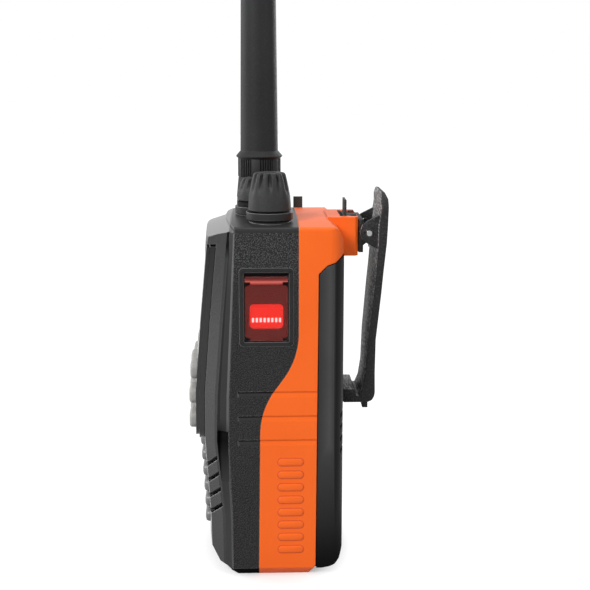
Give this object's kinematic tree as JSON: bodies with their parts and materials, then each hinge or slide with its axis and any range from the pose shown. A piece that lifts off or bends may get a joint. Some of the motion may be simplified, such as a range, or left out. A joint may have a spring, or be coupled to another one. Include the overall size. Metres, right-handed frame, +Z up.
{
  "type": "handheld marine radio",
  "caption": "Handheld floating marine radio with a display and keypad, covered distress button on the side, two top knobs, whip antenna, slide-off battery and sprung belt clip.",
  "frame": {"origin": "centre of the flat foot's underside", "axes": "+Z up along the case to the antenna, display faces -Y, distress button on the +X side, clip at +Y"},
  "size_m": [0.0623, 0.0726, 0.3],
  "materials": {
    "textured_black": "fine-grained moulded plastic",
    "smooth_charcoal": "smooth satin plastic",
    "gloss_black": "polished panel",
    "clear_window": "clear polished window",
    "display_glass": "dark liquid-crystal panel",
    "grey_rubber": "silicone rubber",
    "key_rubber": "satin silicone keys",
    "orange_plastic": "satin moulded plastic",
    "seal_rubber": "matt rubber seal",
    "steel": "zinc-plated steel",
    "chassis_metal": "die-cast alloy",
    "board_green": "solder mask",
    "tin_plate": "tin plate",
    "speaker_black": "pressed frame",
    "membrane_grey": "waterproof fabric",
    "brass": "gold-plated brass",
    "clear_red": "translucent red plastic",
    "signal_red": "gloss red plastic",
    "antenna_rubber": "moulded rubber",
    "knob_plastic": "satin moulded plastic",
    "cell_wrap": "shrink wrap",
    "clip_plastic": "textured moulded plastic",
    "polished_pin": "polished steel"
  },
  "bodies": {
    "radio": {"front_housing": "textured_black", "front_cover": "smooth_charcoal", "display_bezel": "gloss_black", "display_window": "clear_window", "display_module": "display_glass", "keypad_mat": "grey_rubber", "rear_case": "orange_plastic", "case_gasket": "seal_rubber", "case_screws": "steel", "chassis_plate": "chassis_metal", "circuit_board": "board_green", "board_screws": "steel", "shield_can": "tin_plate", "speaker": "speaker_black", "speaker_membrane": "membrane_grey", "microphone": "tin_plate", "side_switches": "board_green", "volume_control": "chassis_metal", "squelch_control": "chassis_metal", "knob_seals": "seal_rubber", "antenna_socket": "brass", "case_contacts": "brass", "jack_socket": "speaker_black", "distress_hinge_pin": "steel", "distress_seal": "seal_rubber"},
    "battery": {"battery_case": "textured_black", "battery_lid": "textured_black", "battery_cells": "cell_wrap", "battery_contacts": "brass", "latch_spring": "steel"},
    "latch": {"battery_latch": "smooth_charcoal"},
    "clip_base": {"clip_base": "clip_plastic", "clip_pin": "polished_pin", "clip_spring": "steel"},
    "clip_lever": {"clip_lever": "clip_plastic"},
    "antenna": {"antenna_sheath": "antenna_rubber", "antenna_core": "steel", "antenna_plug": "brass", "antenna_seal": "seal_rubber"},
    "volume_knob": {"volume_knob": "knob_plastic", "volume_shaft": "brass"},
    "squelch_knob": {"squelch_knob": "knob_plastic", "squelch_shaft": "brass"},
    "distress_cover": {"distress_cover": "clear_red"},
    "distress_button": {"distress_button": "signal_red"},
    "ptt_button": {"ptt_button": "grey_rubber"},
    "side_key_upper": {"side_key_upper": "grey_rubber"},
    "side_key_lower": {"side_key_lower": "grey_rubber"},
    "jack_cover": {"jack_cover": "grey_rubber"},
    "key_menu": {"key_menu": "key_rubber"},
    "key_up": {"key_up": "key_rubber"},
    "key_back": {"key_back": "key_rubber"},
    "key_left": {"key_left": "key_rubber"},
    "key_enter": {"key_enter": "key_rubber"},
    "key_right": {"key_right": "key_rubber"},
    "key_light": {"key_light": "key_rubber"},
    "key_down": {"key_down": "key_rubber"},
    "key_scan": {"key_scan": "key_rubber"}
  },
  "joints": [
    {"name": "volume_turn", "type": "hinge", "parent": "radio", "child": "volume_knob", "pos_m": [0.018, -0.0007, 0.1326], "axis": [0, 0, -1], "range_deg": [0, 300]},
    {"name": "squelch_turn", "type": "hinge", "parent": "radio", "child": "squelch_knob", "pos_m": [0, -0.0049, 0.1343], "axis": [0, 0, -1], "range_deg": [0, 300]},
    {"name": "distress_cover_lift", "type": "hinge", "parent": "radio", "child": "distress_cover", "pos_m": [0.0294, -0.0021, 0.1101], "axis": [0, -1, 0], "range_deg": [0, 130], "stiffness_Nm_per_rad": 0.002, "springref_deg": -17.19},
    {"name": "distress_press", "type": "slide", "parent": "radio", "child": "distress_button", "axis": [-1, 0, 0], "range_m": [0, 0.001], "stiffness_N_per_m": 1500, "springref_m": -0.001},
    {"name": "key_menu_press", "type": "slide", "parent": "radio", "child": "key_menu", "axis": [0, 1, 0], "range_m": [0, 0.0008], "stiffness_N_per_m": 900, "springref_m": -0.0005},
    {"name": "key_up_press", "type": "slide", "parent": "radio", "child": "key_up", "axis": [0, 1, 0], "range_m": [0, 0.0008], "stiffness_N_per_m": 900, "springref_m": -0.0005},
    {"name": "key_back_press", "type": "slide", "parent": "radio", "child": "key_back", "axis": [0, 1, 0], "range_m": [0, 0.0008], "stiffness_N_per_m": 900, "springref_m": -0.0005},
    {"name": "key_left_press", "type": "slide", "parent": "radio", "child": "key_left", "axis": [0, 1, 0], "range_m": [0, 0.0008], "stiffness_N_per_m": 900, "springref_m": -0.0005},
    {"name": "key_enter_press", "type": "slide", "parent": "radio", "child": "key_enter", "axis": [0, 1, 0], "range_m": [0, 0.0008], "stiffness_N_per_m": 900, "springref_m": -0.0005},
    {"name": "key_right_press", "type": "slide", "parent": "radio", "child": "key_right", "axis": [0, 1, 0], "range_m": [0, 0.0008], "stiffness_N_per_m": 900, "springref_m": -0.0005},
    {"name": "key_light_press", "type": "slide", "parent": "radio", "child": "key_light", "axis": [0, 1, 0], "range_m": [0, 0.0008], "stiffness_N_per_m": 900, "springref_m": -0.0005},
    {"name": "key_down_press", "type": "slide", "parent": "radio", "child": "key_down", "axis": [0, 1, 0], "range_m": [0, 0.0008], "stiffness_N_per_m": 900, "springref_m": -0.0005},
    {"name": "key_scan_press", "type": "slide", "parent": "radio", "child": "key_scan", "axis": [0, 1, 0], "range_m": [0, 0.0008], "stiffness_N_per_m": 900, "springref_m": -0.0005},
    {"name": "ptt_press", "type": "slide", "parent": "radio", "child": "ptt_button", "axis": [1, 0, 0], "range_m": [0, 0.0009], "stiffness_N_per_m": 2000, "springref_m": -0.0006},
    {"name": "side_key_upper_press", "type": "slide", "parent": "radio", "child": "side_key_upper", "axis": [1, 0, 0], "range_m": [0, 0.0009], "stiffness_N_per_m": 1200, "springref_m": -0.0006},
    {"name": "side_key_lower_press", "type": "slide", "parent": "radio", "child": "side_key_lower", "axis": [1, 0, 0], "range_m": [0, 0.0009], "stiffness_N_per_m": 1200, "springref_m": -0.0006},
    {"name": "battery_slide", "type": "slide", "parent": "radio", "child": "battery", "axis": [0, 0, -1], "range_m": [0, 0.118]},
    {"name": "latch_pull", "type": "slide", "parent": "battery", "child": "latch", "axis": [0, 1, 0], "range_m": [0, 0.002], "stiffness_N_per_m": 800, "springref_m": -0.001},
    {"name": "clip_slide_off", "type": "slide", "parent": "radio", "child": "clip_base", "axis": [0, 0, 1], "range_m": [0, 0.014]},
    {"name": "clip_open", "type": "hinge", "parent": "clip_base", "child": "clip_lever", "pos_m": [0, 0.0352, 0.1235], "axis": [1, 0, 0], "range_deg": [0, 22], "stiffness_Nm_per_rad": 0.15, "springref_deg": -20.05},
    {"name": "antenna_unscrew", "type": "slide", "parent": "radio", "child": "antenna", "axis": [0, 0, 1], "range_m": [0, 0.015]},
    {"name": "jack_cover_open", "type": "hinge", "parent": "radio", "child": "jack_cover", "pos_m": [-0.03095, 0.0228, 0.1216], "axis": [0, 0, -1], "range_deg": [0, 110]}
  ]
}
